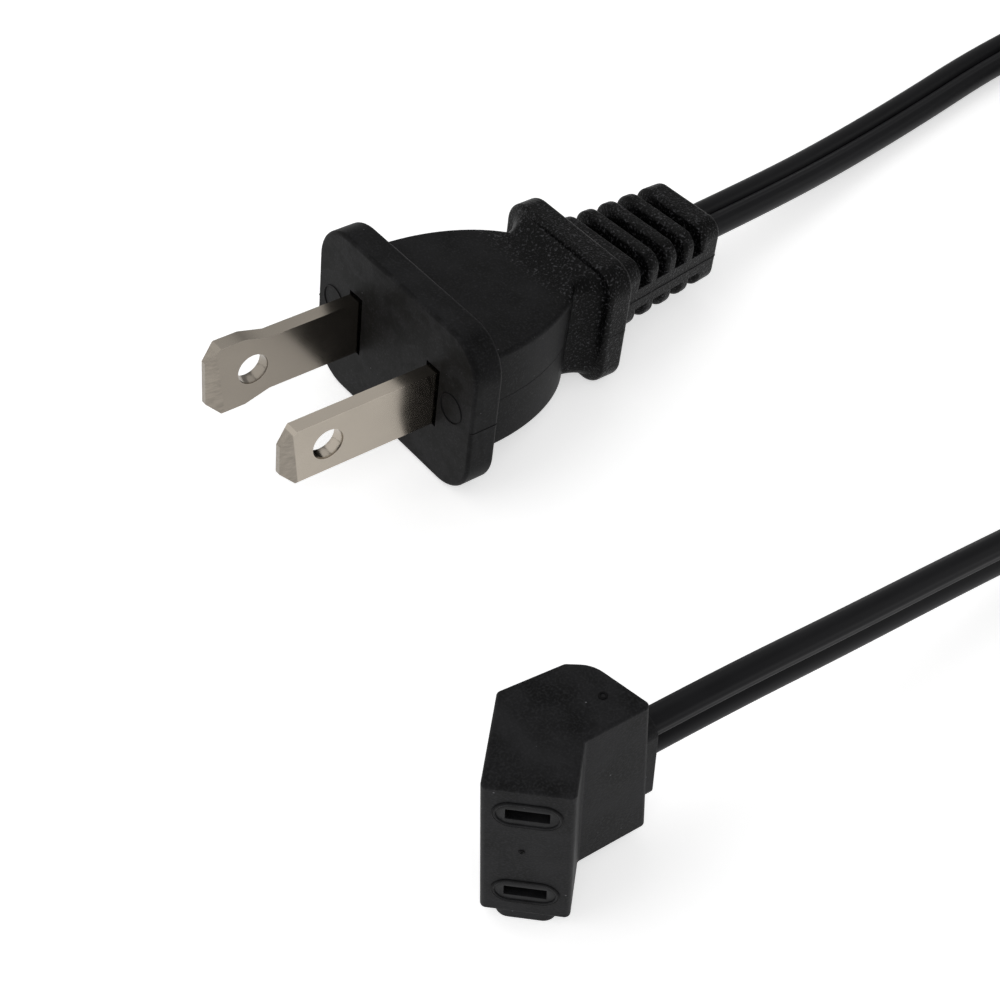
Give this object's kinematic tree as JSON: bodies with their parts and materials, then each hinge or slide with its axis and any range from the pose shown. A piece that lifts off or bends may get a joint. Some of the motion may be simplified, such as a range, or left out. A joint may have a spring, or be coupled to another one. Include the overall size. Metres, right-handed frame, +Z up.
{
  "type": "type a plug",
  "caption": "Polarised two-blade mains plug with a finger guard and ribbed strain relief, on a flat twin cord that ends in an angled two-slot connector.",
  "frame": {"origin": "on the floor, at the centre of the laid-down plug's box without its cord, coil and connector", "axes": "+Z up from the floor; -Y the way the blades point, seen from above, and +Y the way the cord leaves the plug; +X towards the narrow blade"},
  "size_m": [0.0716, 0.186, 0.0189],
  "materials": {
    "plug_plastic": "satin black moulded plastic",
    "inner_plastic": "matt black hard plastic",
    "blade_metal": "nickel-plated brass, lightly worn",
    "contact_metal": "plain spring brass",
    "copper": "bare stranded copper",
    "wire_insulation": "black flexible insulation",
    "cord_jacket": "slightly glossy black flexible jacket",
    "tie_plastic": "black strap"
  },
  "bodies": {
    "root": {"plug_moulding": "plug_plastic", "blade_holder": "inner_plastic", "blade_narrow": "blade_metal", "blade_wide": "blade_metal", "plug_strand_narrow": "copper", "plug_strand_wide": "copper", "plug_wire_narrow": "wire_insulation", "plug_wire_wide": "wire_insulation", "cord_from_plug": "cord_jacket", "cord_coil": "cord_jacket", "coil_tie": "tie_plastic", "cord_to_connector": "cord_jacket", "connector_moulding": "plug_plastic", "slot_carrier": "inner_plastic", "contact_upper": "contact_metal", "contact_lower": "contact_metal", "connector_strand_upper": "copper", "connector_strand_lower": "copper", "connector_wire_upper": "wire_insulation", "connector_wire_lower": "wire_insulation"}
  },
  "joints": []
}
